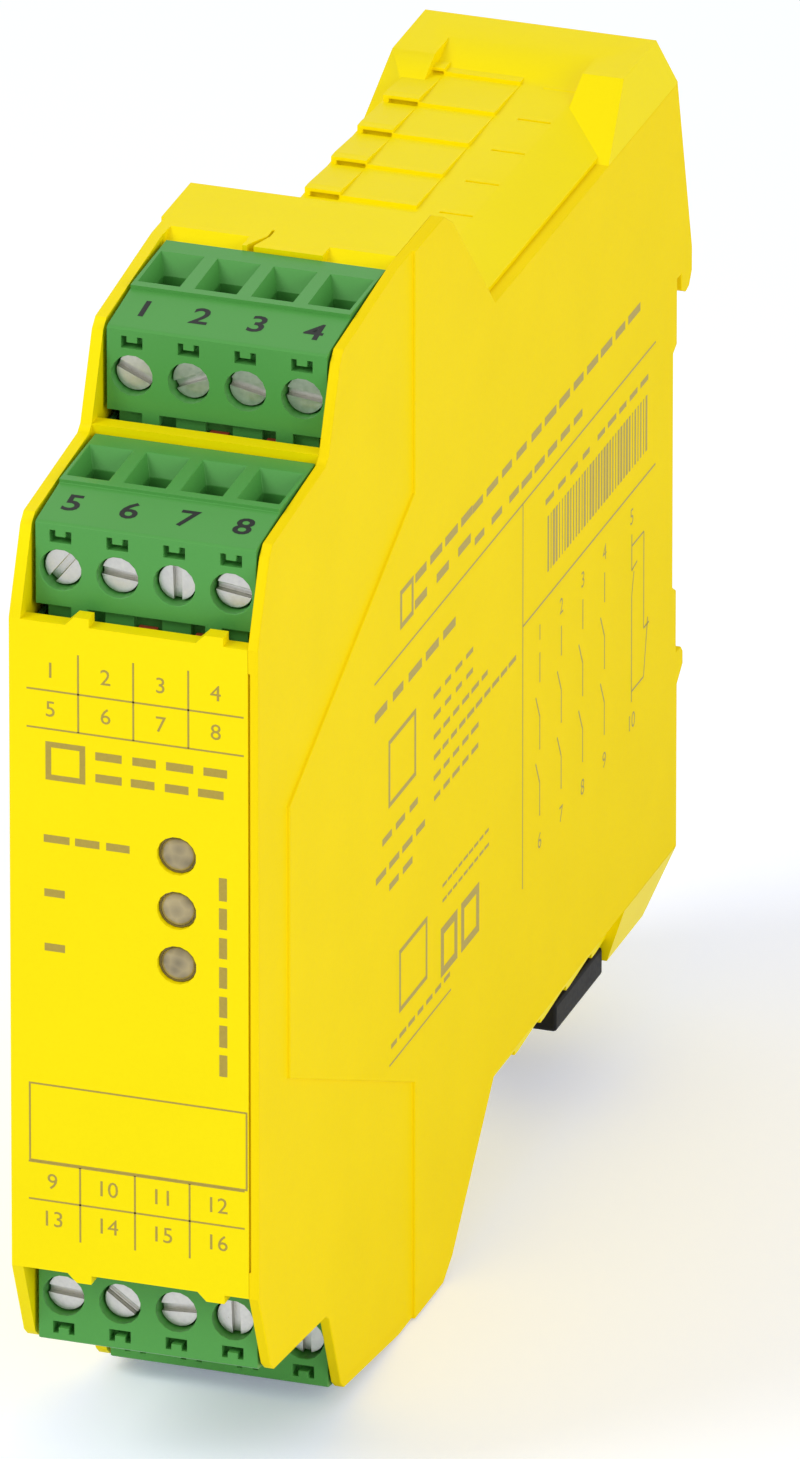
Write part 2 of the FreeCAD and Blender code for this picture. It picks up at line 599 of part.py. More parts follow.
def main_board():
    """The board that stands along the left wall and carries the relays."""
    body = new_body("MainBoardBody")
    top = board_level() - s.board_thick
    y0 = front + 9.0
    y1 = rear_inner - s.board_inset
    step = tower_face + 1.0
    high = s.label_half - s.board_edge_room
    low = s.roof_half - s.board_roof_room
    upper = [(y0, top), (step, top), (step, high), (-s.board_rear, high), (-s.board_rear, low), (y1, low)]
    outline = upper + mirrored(upper)
    pad(body, "MainPlate", "YZ_Plane", [outline], "board_thick", "-main_board_left")
    return node(body, "main_board")


def relay(name, sign):
    """A sealed force-guided relay that stands on the main board, with its solder pins."""
    z0 = 0.6 if sign > 0 else -0.6 - s.relay_height
    case = box(name + "_Case", ("relay_width", "relay_length", "relay_height"),
               ("-main_board_left + board_thick", "-seat_depth + relay_setback", f"{z0}"))
    rib = box(name + "_Rib", ("0.4", "relay_length - 6", "relay_height - 5"),
              ("-main_board_left + board_thick + relay_width", "-seat_depth + relay_setback + 3",
               f"{z0 + 2.5}"))
    return node(fuse(name + "_Body", [case, rib]), name)


def capacitors():
    """Two electrolytic capacitors that stand on the main board in front of the relays."""
    cans = []
    for index, sign in enumerate((1, -1)):
        can = bar(f"Can{index}", "capacitor_radius", "capacitor_length",
                  (-s.main_board_left + s.board_thick, front + s.relay_setback - 7.0, sign * 6.0), (1, 0, 0))
        cans.append(can)
    group = doc.addObject("Part::Compound", "CapacitorGroup")
    group.Links = cans
    return node(group, "capacitors")


def logic_chips():
    """Flat packages on the main board behind the relays and in front of the capacitors."""
    left = "-main_board_left + board_thick"
    relay_face = "-seat_depth + relay_setback"
    chips = [box("ChipA", ("chip_height", "7.5", "10"), (left, relay_face + " - 21", "-5")),
             box("ChipB", ("chip_height", "5", "6"), (left, relay_face + " + relay_length + 2", "4")),
             box("ChipC", ("chip_height", "5", "6"), (left, relay_face + " + relay_length + 2", "-10"))]
    group = doc.addObject("Part::Compound", "ChipGroup")
    group.Links = chips
    return node(group, "logic_chips")


def status_leds():
    """Three lamps behind the label holes, on leads bent to the main board."""
    lamps = []
    face = front + s.led_recess
    for index, level in enumerate(led_levels()):
        tag = f"Led{index}"
        lens = bar(tag + "_Lens", "led_radius", "4", (s.led_side, face, level), (0, 1, 0))
        flange = bar(tag + "_Flange", "led_radius + 0.35", "0.9", (s.led_side, face + 4.0, level),
                     (0, 1, 0), 12)
        leads = []
        for side in (-0.9, 0.5):
            out = box(f"{tag}_Out{side > 0:d}", ("0.5", "6.4 + 0.5", "0.4"),
                      (f"led_side + {side}", f"{face + 4.8}", f"{level - 0.2}"))
            turn = box(f"{tag}_Turn{side > 0:d}",
                       (f"led_side + {side} + main_board_left - board_thick + 0.5", "0.4", "0.4"),
                       ("-main_board_left + board_thick", f"{face + 11.3 - 1.4 * (side > 0)}",
                        f"{level - 0.2}"))
            leads += [out, turn]
        lamps.append(fuse(tag, [lens, flange] + leads))
    group = doc.addObject("Part::Compound", "LedGroup")
    group.Links = lamps
    return node(group, "status_leds")


def board_links():
    """Right-angle pins that join the terminal boards to the main board."""
    left = "-main_board_left + board_thick"
    level = board_level()
    pins = []
    for sign in (1, -1):
        foot = level - s.board_thick - 2.0 if sign > 0 else -level + s.board_thick + 1.4
        rise = foot if sign > 0 else -level - 1.0
        for index, y in enumerate(link_rows()):
            tag = f"Link{sign > 0:d}{index}"
            stem = box(tag + "_Stem", ("0.6", "0.6", "board_thick + 3"), (left + " + 1.2", f"{y}", f"{rise}"))
            base = box(tag + "_Base", ("1.8", "0.6", "0.6"), (left, f"{y}", f"{foot}"))
            pins.append(fuse(tag, [stem, base]))
    group = doc.addObject("Part::Compound", "LinkGroup")
    group.Links = pins
    return node(group, "board_link_pins")


# ---------------------------------------------------------------- rail catch
def rail_catch():
    """The sliding foot: a pull plate under the floor, a stem through the slot and the rear jaw."""
    half_rail = s.rail_height / 2
    plate_top = -field_half - s.louvre_rise - s.catch_room
    plate_low = plate_top - 2.6
    plate_back = -s.block_length + 0.6 - s.catch_room
    jaw_top = -half_rail + s.jaw_lap
    arm_top = -half_rail - 0.3
    arm_low = arm_top - 4.0
    body = new_body("CatchBody")
    plate = [rectangle(plate_back - s.foot_plate_length, plate_back, plate_low, plate_top)]
    pad(body, "FootPlate", "YZ_Plane", plate, "foot_plate_width", middle=True)
    hook = [(-20.0, plate_low + 1.0), (-15.4, plate_low + 1.0), (-15.4, arm_low), (s.hook_reach - 0.7, arm_low),
            (s.hook_reach - 0.4, arm_low + 1.0), (s.hook_reach - 0.4, jaw_top - 0.6),
            (s.hook_reach - 1.2, jaw_top), (s.rail_flange + 0.1, jaw_top), (s.rail_flange + 0.1, arm_top),
            (-20.0, arm_top)]
    pad(body, "Hook", "YZ_Plane", [hook], "catch_width", middle=True)
    return node(body, "rail_catch")


def catch_spring():
    """A folded flat spring between the floor and the catch's arm."""
    low = -s.roof_half + s.skin + 0.1
    high = -s.rail_height / 2 - 4.3 - 0.1
    body = new_body("SpringBody")
    middle = (low + high) / 2
    strip = [(-9.6, low), (-4.4, low), (-4.4, low + 0.3), (-8.8, low + 0.3), (-4.4, middle - 0.2),
             (-4.4, middle + 0.2), (-8.8, high - 0.3), (-4.4, high - 0.3), (-4.4, high), (-9.6, high),
             (-9.6, high - 0.3), (-5.2, middle), (-9.6, low + 0.3)]
    pad(body, "Strip", "YZ_Plane", [strip], "catch_width - 3", middle=True)
    return node(body, "catch_spring")


# ---------------------------------------------------------------- assembly
SLOT_ANGLES = {
    "upper_front": (-52, 6, 88, 8), "upper_rear": (24, -24, 12, 6),
    "lower_front": (-12, 36, 4, 88), "lower_rear": (20, -40, 65, -10),
}


def plug_place(tier_index, sign):
    """Where a plug's own frame sits; the lower plugs are turned half a turn about Y."""
    x = s.plug_shift
    y = front + s.plug_setback + tier_index * s.tier_run
    z = sign * (s.label_half + s.plug_lift + tier_index * s.tier_rise)
    return Placement(Vector(x, y, z), Rotation(Vector(0, 1, 0), 0 if sign > 0 else 180))


housing_shell()
side_cover()
rail_catch()
catch_spring()
main_board()
terminal_board("upper_terminal_board", 1)
terminal_board("lower_terminal_board", -1)
board_links()
relay("relay_k1", 1)
relay("relay_k2", -1)
capacitors()
logic_chips()
status_leds()

coding = []
for tier_index, tier_name in enumerate(("front", "rear")):
    stand = tier_index * s.tier_rise
    places = []
    for sign, side in ((1, "upper"), (-1, "lower")):
        key = f"{side}_{tier_name}"
        place = plug_place(tier_index, sign)
        places.append((side, place))
        plug("plug_" + key, place)
        plug_contacts("contacts_" + key, place)
        header("header_" + key, place, stand)
        coding += coding_peg_solids("coding_" + key, place)
        for index, x in enumerate(poles()):
            angle = SLOT_ANGLES[key][index]
            clamp_screw(f"screw_{key}_{index + 1}", place, x, angle)
            clamp_cage(f"cage_{key}_{index + 1}", place, x)
    header_pins(f"header_pins_{tier_name}", places, stand)

coding_group = doc.addObject("Part::Compound", "CodingGroup")
coding_group.Links = coding
node(coding_group, "coding_pegs")
doc.recompute()

# ---------------------------------------------------------------- checks and files
faults = [item.Name for item in doc.Objects if "Invalid" in item.State or "Error" in item.State]
for item in doc.Objects:
    if item.TypeId == "PartDesign::Pocket" and item.BaseFeature is not None:
        if item.Shape.Volume >= item.BaseFeature.Shape.Volume - 1e-6:
            faults.append(item.Name + " cuts nothing")
for name, item in NODES:
    if item.Shape.isNull() or not item.Shape.isValid():
        faults.append(name)
if faults:
    raise RuntimeError("failed: " + ", ".join(faults))

os.makedirs("parts", exist_ok=True)
for name, item in NODES:
    item.Shape.exportStep(f"parts/{name}.step")
print(len(NODES), "nodes")
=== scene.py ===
"""Finishes for the rail-mounted safety relay: moulded yellow housing, green terminal plugs, print, lamps.

Every length that is written in millimetres is turned into metres by MM. The frame's origin is the
centre of the rail seat, +X right, +Y back into the panel and +Z up.
"""
import math

import bmesh
import bpy
from mathutils import Matrix, Vector


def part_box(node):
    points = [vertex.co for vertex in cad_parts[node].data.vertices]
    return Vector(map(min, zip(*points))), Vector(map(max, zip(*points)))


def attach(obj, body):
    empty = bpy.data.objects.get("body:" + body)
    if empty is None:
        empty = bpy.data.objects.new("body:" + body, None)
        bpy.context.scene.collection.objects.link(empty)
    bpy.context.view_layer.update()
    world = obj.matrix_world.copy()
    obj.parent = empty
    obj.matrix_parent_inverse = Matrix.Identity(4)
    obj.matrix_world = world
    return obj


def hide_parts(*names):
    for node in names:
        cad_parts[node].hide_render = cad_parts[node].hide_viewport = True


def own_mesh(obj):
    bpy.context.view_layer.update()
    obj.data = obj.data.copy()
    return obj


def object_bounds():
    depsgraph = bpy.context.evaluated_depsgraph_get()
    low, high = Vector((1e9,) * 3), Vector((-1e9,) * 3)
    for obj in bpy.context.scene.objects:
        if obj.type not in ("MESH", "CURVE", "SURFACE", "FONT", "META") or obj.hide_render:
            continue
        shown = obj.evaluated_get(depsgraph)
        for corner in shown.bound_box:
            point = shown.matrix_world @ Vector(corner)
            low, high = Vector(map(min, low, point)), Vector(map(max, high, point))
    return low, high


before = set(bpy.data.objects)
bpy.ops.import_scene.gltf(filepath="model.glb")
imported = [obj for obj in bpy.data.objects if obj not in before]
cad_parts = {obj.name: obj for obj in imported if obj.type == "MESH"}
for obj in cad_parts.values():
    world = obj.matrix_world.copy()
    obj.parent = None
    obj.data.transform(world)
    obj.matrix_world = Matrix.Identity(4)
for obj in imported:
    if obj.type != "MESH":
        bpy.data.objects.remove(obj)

bl_info = {
    "name": "Rail Safety Relay",
    "version": (1, 0, 0),
    "blender": (4, 5, 0),
    "location": "View3D > Sidebar > Relay",
    "description": "Dresses a rail-mounted safety relay and sets up its studio",
    "category": "Object",
}

MM = 0.001
CAD_BOX = [list(corner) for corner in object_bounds()]
SHELL_LOW, SHELL_HIGH = (Vector(corner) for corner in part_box("housing_shell"))
BOARD_BODY = "relay_unit"
PLUGS = ("upper_front", "upper_rear", "lower_front", "lower_rear")
SLOT_TURNS = {
    "upper_front": (-52, 6, 88, 8), "upper_rear": (24, -24, 12, 6),
    "lower_front": (88, -4, 36, 4), "lower_rear": (88, -40, 65, -10),
}
PRINT_LIFT = 0.012 * MM
# SHARP_EDGE is in degrees, the two pitches in millimetres and the other lengths in metres.
SHARP_EDGE = 32
POLE_PITCH = 5.0
TABLE_PITCH = 4.85
LAMP_FLANGE = 1.95 * MM
FLOOR_REACH, FLOOR_GAP = 4.0, 0.2 * MM
FLOOR_COLOUR, GLOW_COLOUR, GLOW = (0.91, 0.94, 0.99, 1.0), (0.74, 0.76, 1.0, 1.0), 0.28
SKY_LIGHT = 0.62
AIM = Vector((4.7, -55.0, -2.1)) * MM


# ---------------------------------------------------------------- node helpers
class Sock:
    """A node socket that adds Math nodes when it is used in an expression."""

    def __init__(self, kit, link):
        self.kit, self.link = kit, link

    def _math(self, operation, first, second):
        return self.kit.add("ShaderNodeMath", {"operation": operation}, {0: first, 1: second})

    def __add__(self, other):
        return self._math("ADD", self, other)

    __radd__ = __add__

    def __sub__(self, other):
        return self._math("SUBTRACT", self, other)

    def __rsub__(self, other):
        return self._math("SUBTRACT", other, self)

    def __mul__(self, other):
        return self._math("MULTIPLY", self, other)

    __rmul__ = __mul__


class Wiring:
    """Adds nodes to a tree: settings first, then the values or links of the sockets."""

    tree = None

    def add(self, kind, settings=None, values=None, out=0):
        item = self.tree.nodes.new(kind)
        for key, value in (settings or {}).items():
            setattr(item, key, value)
        for key, value in (values or {}).items():
            if isinstance(value, Sock):
                self.tree.links.new(value.link, item.inputs[key])
            else:
                item.inputs[key].default_value = value
        return Sock(self, item.outputs[out])

    def xyz(self, across, up, out):
        return self.add("ShaderNodeCombineXYZ", None, {0: across, 1: up, 2: out})


class Finish(Wiring):
    """A procedural material with one Principled shader."""

    def __init__(self, name, **constants):
        self.material = bpy.data.materials.new(name)
        self.material.use_nodes = True
        self.tree = self.material.node_tree
        self.shader = self.tree.nodes["Principled BSDF"]
        for socket, value in constants.items():
            self.shader.inputs[socket.replace("_", " ")].default_value = value

    def place(self, scale=(1.0, 1.0, 1.0)):
        """Object coordinates, stretched where a grain has a direction."""
        point = self.add("ShaderNodeTexCoord", out=3)
        return self.add("ShaderNodeMapping", None, {"Vector": point, "Scale": scale})

    def noise(self, size, detail=2.0, stretch=(1.0, 1.0, 1.0)):
        """Noise from 0 to 1 with grains of about the given size in millimetres."""
        values = {"Vector": self.place(stretch), "Scale": 1.0 / (size * MM), "Detail": detail}
        return self.add("ShaderNodeTexNoise", None, values)

    def blend(self, factor, first, second):
        values = {0: factor, 6: first, 7: second}
        return self.add("ShaderNodeMix", {"data_type": "RGBA"}, values, out=2)

    def feed(self, socket, value):
        self.tree.links.new(value.link, self.shader.inputs[socket])
        return self

    def bump(self, height, depth):
        """Feeds Normal from a height map; depth is in millimetres."""
        values = {"Height": height, "Distance": depth * MM, "Strength": 1.0}
        return self.feed("Normal", self.add("ShaderNodeBump", None, values))


def shade(colour, factor):
    """A colour made lighter or darker, with its alpha kept."""
    return tuple(min(1.0, channel * factor) for channel in colour[:3]) + (1.0,)


def moulded(name, colour, grain=0.3, depth=0.006, rough=0.42, mottle=0.04, gloss=0.4):
    """Spark-eroded moulded plastic: a fine grain in the surface and a faint cloudiness in the colour."""
    finish = Finish(name, Roughness=rough, Specular_IOR_Level=gloss)
    cloud = finish.noise(9.0, 3.0)
    grains = finish.noise(grain, 2.0)
    tone = cloud * 0.6 + grains * 0.4
    finish.feed("Base Color", finish.blend(tone, shade(colour, 1 - mottle), shade(colour, 1 + mottle)))
    finish.feed("Roughness", grains * 0.16 + (rough - 0.08))
    return finish.bump(grains, depth).material


def plated_steel(name, colour, rough=0.3):
    """Nickel-plated steel with a fine grain and small dull spots."""
    finish = Finish(name, Metallic=1.0, Roughness=rough)
    spots = finish.noise(0.5, 4.0)
    fine = finish.noise(0.12, 2.0)
    finish.feed("Base Color", finish.blend(spots, shade(colour, 0.72), shade(colour, 1.12)))
    finish.feed("Roughness", spots * 0.3 + (rough - 0.1))
    return finish.bump(fine, 0.012).material


def printed_ink(name, colour):
    """Thin pad-printed ink, a little worn."""
    finish = Finish(name, Roughness=0.5, Specular_IOR_Level=0.3)
    wear = finish.noise(0.25, 3.0)
    finish.feed("Base Color", finish.blend(wear, shade(colour, 0.9), shade(colour, 1.14)))
    return finish.bump(wear, 0.004).material


def lamp_lens(name, colour):
    """A smoky lens moulded in small cells, each darker towards its middle."""
    finish = Finish(name, Roughness=0.16, Coat_Weight=0.6, Coat_Roughness=0.05)
    cells = finish.add("ShaderNodeTexVoronoi", None,
                       {"Vector": finish.place(), "Scale": 1.0 / (1.1 * MM)})
    finish.feed("Base Color", finish.blend(cells, shade(colour, 0.55), shade(colour, 1.5)))
    return finish.bump(cells, 0.05).material


def laminate(name, colour):
    """Solder-masked board with the weave of the glass cloth under it."""
    finish = Finish(name, Roughness=0.35, Coat_Weight=0.2)
    warp = finish.noise(0.5, 1.0, (1.0, 0.2, 1.0))
    weft = finish.noise(0.5, 1.0, (1.0, 1.0, 0.2))
    weave = warp * weft
    finish.feed("Base Color", finish.blend(weave, shade(colour, 0.8), shade(colour, 1.3)))
    return finish.bump(weave, 0.01).material


class Studio(Wiring):
    """The nodes of the floor or of the sky, which look brighter than the light they give the part."""

    def __init__(self, tree):
        self.tree = tree

    def ray(self, kind):
        return self.add("ShaderNodeLightPath", out=f"Is {kind} Ray")

    def seen(self):
        """1 for camera, glossy and transmission rays, 0 for the light that reaches the part."""
        level = self.ray("Camera")
        for kind in ("Glossy", "Transmission"):
            level = self.add("ShaderNodeMath", {"operation": "MAXIMUM"}, {0: level, 1: self.ray(kind)})
        return level


# ---------------------------------------------------------------- geometry node rules
class Rule(Wiring):
    """A Geometry Nodes tree with named inputs, which ends in real geometry with a material."""

    def __init__(self, name, **inputs):
        self.tree = bpy.data.node_groups.new(name, "GeometryNodeTree")
        ports = self.tree.interface
        ports.new_socket(name="Geometry", in_out="INPUT", socket_type="NodeSocketGeometry")
        for label, kind in inputs.items():
            ports.new_socket(name=label.replace("_", " "), in_out="INPUT", socket_type="NodeSocket" + kind)
        ports.new_socket(name="Material", in_out="INPUT", socket_type="NodeSocketMaterial")
        ports.new_socket(name="Geometry", in_out="OUTPUT", socket_type="NodeSocketGeometry")
        self.inputs = self.tree.nodes.new("NodeGroupInput").outputs
        self.output = self.tree.nodes.new("NodeGroupOutput").inputs[0]

    def given(self, label):
        return Sock(self, self.inputs[label])

    def moved(self, shape, shift=None, turn=None, scale=None):
        values = {"Geometry": shape}
        for key, value in (("Translation", shift), ("Rotation", turn), ("Scale", scale)):
            if value is not None:
                values[key] = value
        return self.add("GeometryNodeTransform", None, values)

    def close(self, shape):
        real = self.add("GeometryNodeRealizeInstances", None, {"Geometry": shape})
        done = self.add("GeometryNodeSetMaterial", None,
                        {"Geometry": real, "Material": self.given("Material")})
        self.tree.links.new(done.link, self.output)
        return self.tree

    @staticmethod
    def bake(name, tree, material, mesh=None, finish=None, **values):
        """Runs a tree on a mesh and leaves a plain object; finish may add modifiers after it."""
        item = new_object(name, mesh or bpy.data.meshes.new(name))
        modifier = item.modifiers.new(name, "NODES")
        modifier.node_group = tree
        values["Material"] = material
        for port in tree.interface.items_tree:
            label = port.name.replace(" ", "_")
            if port.in_out == "INPUT" and label in values:
                modifier[port.identifier] = values[label]
        if finish:
            finish(item)
        return applied(item)


def word_rule():
    """Short bars along each edge of a mesh; the edges' ends carry the line's height as "cap"."""
    rule = Rule("Printed words", Pitch="Float", Thickness="Float", Shortest="Float", Longest="Float",
                Share="Float", Seed="Int")
    cap = rule.add("GeometryNodeInputNamedAttribute", {"data_type": "FLOAT"}, {"Name": "cap"})
    pitch = cap * rule.given("Pitch")
    paths = rule.add("GeometryNodeMeshToCurve", None, {"Mesh": rule.given("Geometry")})
    spots = rule.add("GeometryNodeResampleCurve", {"mode": "LENGTH"}, {"Curve": paths, "Length": pitch})
    wide = rule.add("FunctionNodeRandomValue", {"data_type": "FLOAT"},
                    {2: rule.given("Shortest"), 3: rule.given("Longest"), 8: rule.given("Seed")}, out=1)
    kept = rule.add("FunctionNodeRandomValue", {"data_type": "BOOLEAN"},
                    {6: rule.given("Share"), 8: rule.given("Seed") + 1}, out=3)
    along = rule.add("GeometryNodeInputTangent")
    turn = rule.add("FunctionNodeAlignRotationToVector", {"axis": "X"}, {"Vector": along})
    bar = rule.add("GeometryNodeMeshGrid", None, {"Size X": 1.0, "Size Y": 1.0, "Vertices X": 2,
                                                  "Vertices Y": 2})
    size = rule.xyz(pitch * wide, cap * rule.given("Thickness"), 1.0)
    bars = rule.add("GeometryNodeInstanceOnPoints", None,
                    {"Points": spots, "Selection": kept, "Instance": bar, "Rotation": turn, "Scale": size})
    return rule.close(bars)


def screw_rule():
    """A cheese-head screw along z, its slotted face at the origin."""
    rule = Rule("Slotted screw", Head_radius="Float", Head_height="Float", Slot_width="Float",
                Slot_depth="Float", Slot_turn="Float", Shank_radius="Float", Length="Float")
    radius, height = rule.given("Head radius"), rule.given("Head height")
    blank = rule.add("GeometryNodeMeshCylinder", None, {"Vertices": 40, "Radius": radius, "Depth": height})
    head = rule.moved(blank, rule.xyz(0.0, 0.0, height * 0.5))
    block = rule.add("GeometryNodeMeshCube", None,
                     {"Size": rule.xyz(radius * 3.0, rule.given("Slot width"),
                                       rule.given("Slot depth") * 2.0)})
    slot = rule.moved(block, None, rule.xyz(0.0, 0.0, rule.given("Slot turn")))
    slotted = rule.add("GeometryNodeMeshBoolean", {"operation": "DIFFERENCE"},
                       {"Mesh 1": head, "Mesh 2": slot})
    reach = rule.given("Length") - height
    rod = rule.add("GeometryNodeMeshCylinder", None,
                   {"Vertices": 24, "Radius": rule.given("Shank radius"), "Depth": reach})
    shank = rule.moved(rod, rule.xyz(0.0, 0.0, height + reach * 0.5))
    both = rule.tree.nodes.new("GeometryNodeJoinGeometry")
    for part in (shank, slotted):
        rule.tree.links.new(part.link, both.inputs[0])
    return rule.close(Sock(rule, both.outputs[0]))


def lamp_rule():
    """A row of domes, or of thin rings round them that carry the painted shade at the edges of the lamp
    holes, downwards from the origin and facing z.
    """
    rule = Rule("Row of lamps", Count="Int", Pitch="Float", Radius="Float", Height="Float", Rim="Bool")
    radius, height = rule.given("Radius"), rule.given("Height")
    spots = rule.add("GeometryNodeMeshLine", None,
                     {"Count": rule.given("Count"), "Offset": rule.xyz(0.0, 0.0 - rule.given("Pitch"), 0.0)})
    ball = rule.add("GeometryNodeMeshUVSphere", None, {"Segments": 40, "Rings": 20, "Radius": 1.0})
    dome = rule.moved(ball, None, None, rule.xyz(radius, radius, height))
    ring = rule.add("GeometryNodeCurvePrimitiveCircle", None, {"Resolution": 48, "Radius": radius})
    wire = rule.add("GeometryNodeCurvePrimitiveCircle", None, {"Resolution": 10, "Radius": height})
    shade_ring = rule.add("GeometryNodeCurveToMesh", None, {"Curve": ring, "Profile Curve": wire})
    shape = rule.add("GeometryNodeSwitch", {"input_type": "GEOMETRY"},
                     {"Switch": rule.given("Rim"), "False": dome, "True": shade_ring})
    return rule.close(rule.add("GeometryNodeInstanceOnPoints", None, {"Points": spots, "Instance": shape}))


# ---------------------------------------------------------------- mesh helpers
def new_object(name, mesh):
    item = bpy.data.objects.new(name, mesh)
    bpy.context.scene.collection.objects.link(item)
    return item


def applied(item):
    """The object with its modifiers made real, and the modifiers removed."""
    graph = bpy.context.evaluated_depsgraph_get()
    mesh = bpy.data.meshes.new_from_object(item.evaluated_get(graph))
    item.modifiers.clear()
    item.data = mesh
    return item


def clean_copy(node):
    """A merged copy of a CAD node's mesh with its flat faces joined."""
    work = bmesh.new()
    work.from_mesh(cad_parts[node].data)
    bmesh.ops.remove_doubles(work, verts=work.verts, dist=0.0005 * MM)
    bmesh.ops.dissolve_limit(work, angle_limit=math.radians(0.5), verts=work.verts, edges=work.edges)
    mesh = bpy.data.meshes.new(node + "_dressed")
    work.to_mesh(mesh)
    work.free()
    return mesh


def rounded(item, radius):
    """Small rounds on the sharp edges, with the flat faces still shaded flat."""
    bevel = item.modifiers.new("Edges", "BEVEL")
    bevel.width, bevel.segments = radius, 2
    bevel.limit_method = "ANGLE"
    bevel.angle_limit = math.radians(SHARP_EDGE)
    bevel.use_clamp_overlap = True
    flat = item.modifiers.new("Flat faces", "WEIGHTED_NORMAL")
    flat.weight, flat.keep_sharp = 100, True


def softened(node, body, material, radius):
    """Stands for a CAD node with the same form and slightly rounded edges; radius is in millimetres."""
    item = new_object(node + "_dressed", clean_copy(node))
    item.data.materials.clear()
    item.data.materials.append(material)
    item.data.polygons.foreach_set("material_index", [0] * len(item.data.polygons))
    smooth_by_angle(item.data, SHARP_EDGE)
    rounded(item, radius * MM)
    return seated(applied(item), body, node)


def smooth_by_angle(mesh, degrees):
    mesh.shade_smooth()
    mesh.set_sharp_from_angle(angle=math.radians(degrees))


def placed(item, origin, across, up):
    """Puts the mesh in its place: its x runs across and its y up, both in millimetres until now."""
    across, up = Vector(across), Vector(up)
    turn = Matrix((across, up, across.cross(up))).transposed().to_4x4()
    item.data.transform(Matrix.Translation(origin) @ turn @ Matrix.Scale(MM, 4))
    return item


def seated(item, body, node=None):
    """The finished piece moves with its body, and may stand for a CAD node."""
    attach(item, body)
    if node:
        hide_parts(node)
    return item


def paint(node, material):
    """A CAD node keeps its mesh and gets a finish."""
    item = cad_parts[node]
    if not item.data.materials:
        item.data.materials.append(material)
    for index in range(len(item.material_slots)):
        item.material_slots[index].link = "OBJECT"
        item.material_slots[index].material = material


class Sheet:
    """Collects flat print on one plane: u runs across, w up, both in millimetres."""

    def __init__(self, name, origin, across, up):
        self.name, self.work, self.lines = name, bmesh.new(), []
        self.origin, self.across, self.up = Vector(origin), Vector(across), Vector(up)

    def point(self, u, w):
        return self.work.verts.new(self.origin + self.across * (u * MM) + self.up * (w * MM))

    def patch(self, corners):
        self.work.faces.new([self.point(u, w) for u, w in corners])

    def bar(self, u0, u1, w0, w1):
        self.patch([(u0, w0), (u1, w0), (u1, w1), (u0, w1)])

    def line(self, u0, w0, u1, w1, width=0.16):
        along = Vector((u1 - u0, w1 - w0)).normalized() * (width / 2)
        side = Vector((-along.y, along.x))
        self.patch([(u0 - side.x, w0 - side.y), (u1 - side.x, w1 - side.y),
                    (u1 + side.x, w1 + side.y), (u0 + side.x, w0 + side.y)])

    def frame(self, u0, u1, w0, w1, width=0.16):
        half = width / 2
        self.bar(u0 - half, u1 + half, w0 - half, w0 + half)
        self.bar(u0 - half, u1 + half, w1 - half, w1 + half)
        self.bar(u0 - half, u0 + half, w0 + half, w1 - half)
        self.bar(u1 - half, u1 + half, w0 + half, w1 - half)

    def number(self, text, u, w, height, weight=0.0):
        """A plain number centred on (u, w); weight thickens its strokes."""
        curve = bpy.data.curves.new(self.name + "_number", "FONT")
        curve.body, curve.size = text, height * 1.4
        curve.align_x, curve.align_y = "CENTER", "CENTER"
        curve.resolution_u, curve.offset = 3, weight
        item = new_object("number", curve)
        mesh = bpy.data.meshes.new_from_object(item.evaluated_get(bpy.context.evaluated_depsgraph_get()))
        bpy.data.objects.remove(item)
        spots = [self.point(u + vert.co.x, w + vert.co.y) for vert in mesh.vertices]
        for face in mesh.polygons:
            self.work.faces.new([spots[index] for index in face.vertices])

    def words(self, u0, w0, u1, w1, cap):
        """Notes a line of short bars from (u0, w0) to (u1, w1), each cap high."""
        self.lines.append(((u0, w0), (u1, w1), cap))

    def set_words(self, material, tree, **values):
        """Draws the lines noted so far by the rule for printed words."""
        guide = bpy.data.meshes.new(self.name + "_guide")
        ends = [(u, w, 0.0) for first, second, cap in self.lines for u, w in (first, second)]
        guide.from_pydata(ends, [(2 * index, 2 * index + 1) for index in range(len(self.lines))], [])
        caps = guide.attributes.new("cap", "FLOAT", "POINT")
        caps.data.foreach_set("value", [line[2] for line in self.lines for _ in range(2)])
        item = Rule.bake(self.name + "_words", tree, material, guide, **values)
        spots = [self.point(vert.co.x, vert.co.y) for vert in item.data.vertices]
        for face in item.data.polygons:
            self.work.faces.new([spots[index] for index in face.vertices])
        bpy.data.objects.remove(item)
        self.lines = []

    def finish(self, material, slot, body=BOARD_BODY):
        mesh = bpy.data.meshes.new(self.name)
        normal = self.across.cross(self.up)
        self.work.normal_update()
        for face in self.work.faces:
            if face.normal.dot(normal) < 0:
                face.normal_flip()
        self.work.to_mesh(mesh)
        self.work.free()
        item = new_object(self.name, mesh)
        mesh.materials.append(material)
        return seated(item, body)


